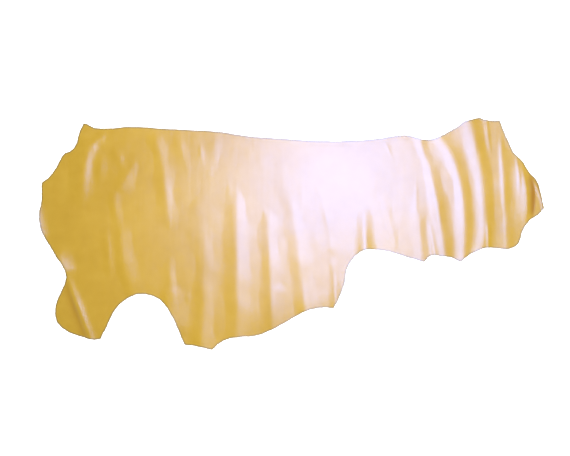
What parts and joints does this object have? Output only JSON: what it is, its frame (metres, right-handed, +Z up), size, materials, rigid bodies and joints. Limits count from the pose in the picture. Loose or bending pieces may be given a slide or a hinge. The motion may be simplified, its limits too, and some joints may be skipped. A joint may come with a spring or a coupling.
{
  "type": "leather hide",
  "caption": "Tanned leather side, half of a cattle hide cut along the backbone, lying loose in soft folds, for cutting into leather goods.",
  "frame": {"origin": "bottom centre of the side's bounding box, on the surface that it lies on", "axes": "+X from the butt to the neck, +Y from the belly to the backbone cut, +Z up out of the grain side"},
  "size_m": [2.393, 1.1014, 0.0129],
  "materials": {
    "grain_leather": "golden tan grain side with a soft pinkish pearl sheen, raw cut edge, suede flesh side"
  },
  "bodies": {
    "root": {"hide": "grain_leather"}
  },
  "joints": []
}
